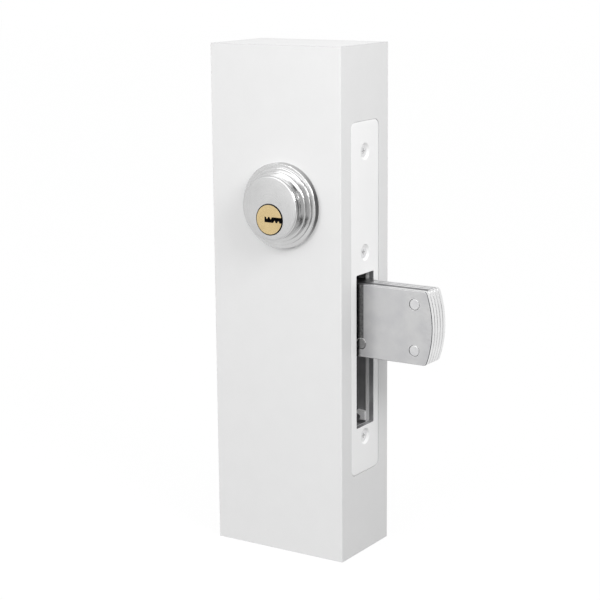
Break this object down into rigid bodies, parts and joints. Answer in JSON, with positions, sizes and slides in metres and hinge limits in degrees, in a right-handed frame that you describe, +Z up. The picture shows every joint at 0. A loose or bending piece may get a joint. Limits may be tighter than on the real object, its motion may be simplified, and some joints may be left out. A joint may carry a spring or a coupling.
{
  "type": "swing-bolt lock in a door stile",
  "caption": "Pivoting laminated-bolt deadlock for a narrow door stile, with keyed cylinder, turn knob, faceplate and a short length of white stile.",
  "frame": {"origin": "centre of the stile section's base", "axes": "+Z up the stile, +X towards the edge that the bolt leaves, -Y towards the key side"},
  "size_m": [0.1148, 0.0849, 0.252],
  "materials": {
    "white_coat": "satin white coat",
    "bolt_steel": "satin zinc plate",
    "zinc_steel": "bright zinc plate",
    "case_steel": "zinc plate",
    "spring_steel": "bare spring steel",
    "satin_chrome": "satin",
    "brass": "satin"
  },
  "bodies": {
    "stile": {"stile_section": "white_coat", "stile_cap_bottom": "white_coat", "stile_cap_top": "white_coat", "faceplate": "white_coat", "faceplate_screws": "zinc_steel", "case_shell": "case_steel", "case_cover": "case_steel", "case_spacers": "case_steel", "case_rivets": "zinc_steel", "case_posts": "case_steel", "upper_lug": "case_steel", "lower_lug": "case_steel", "lug_rivets": "zinc_steel", "stile_clips": "case_steel", "mounting_screws": "zinc_steel", "outer_thread_ring": "case_steel", "inner_thread_ring": "case_steel", "ring_set_screws": "zinc_steel", "bolt_pivot_pin": "zinc_steel", "bolt_washers": "zinc_steel", "bolt_guide_clip": "case_steel", "lever_pivot_pin": "zinc_steel", "detent_spring": "spring_steel", "key_cylinder_body": "satin_chrome", "chamber_strip": "brass", "driver_pins": "brass", "pin_springs": "spring_steel", "outer_trim_ring": "satin_chrome", "inner_trim_ring": "satin_chrome", "turn_cylinder_body": "satin_chrome"},
    "bolt": {"bolt_plate_1": "bolt_steel", "bolt_plate_2": "bolt_steel", "bolt_plate_3": "bolt_steel", "bolt_plate_4": "bolt_steel", "bolt_plate_5": "bolt_steel", "bolt_rivets": "zinc_steel", "bolt_bush": "brass"},
    "lever": {"outer_lever_plate": "case_steel", "inner_lever_plate": "case_steel", "lever_hub": "case_steel", "drive_pin": "zinc_steel"},
    "plug": {"key_plug": "brass", "key_pins": "brass", "key_cam": "brass", "key_cam_screws": "zinc_steel"},
    "knob": {"turn_spindle": "brass", "turn_knob": "satin_chrome", "knob_screw": "zinc_steel", "turn_cam": "brass", "turn_cam_screws": "zinc_steel"}
  },
  "joints": [
    {"name": "bolt_swing", "type": "hinge", "parent": "stile", "child": "bolt", "pos_m": [0.021, 0, 0.1221], "axis": [0, 1, 0], "range_deg": [0, 90]},
    {"name": "lever_swing", "type": "hinge", "parent": "stile", "child": "lever", "pos_m": [0.004, 0, 0.1469], "axis": [0, 1, 0], "range_deg": [-72.61, 0]},
    {"name": "key_turn", "type": "hinge", "parent": "stile", "child": "plug", "pos_m": [0.004, 0, 0.1702], "axis": [0, 1, 0], "range_deg": [0, 360]},
    {"name": "knob_turn", "type": "hinge", "parent": "stile", "child": "knob", "pos_m": [0.004, 0, 0.1702], "axis": [0, 1, 0], "range_deg": [0, 360]}
  ],
  "couplings": [
    {"joint": "lever_swing", "follows": "bolt_swing", "ratio": -0.80623},
    {"joint": "key_turn", "follows": "bolt_swing", "ratio": 4},
    {"joint": "knob_turn", "follows": "bolt_swing", "ratio": 4}
  ]
}
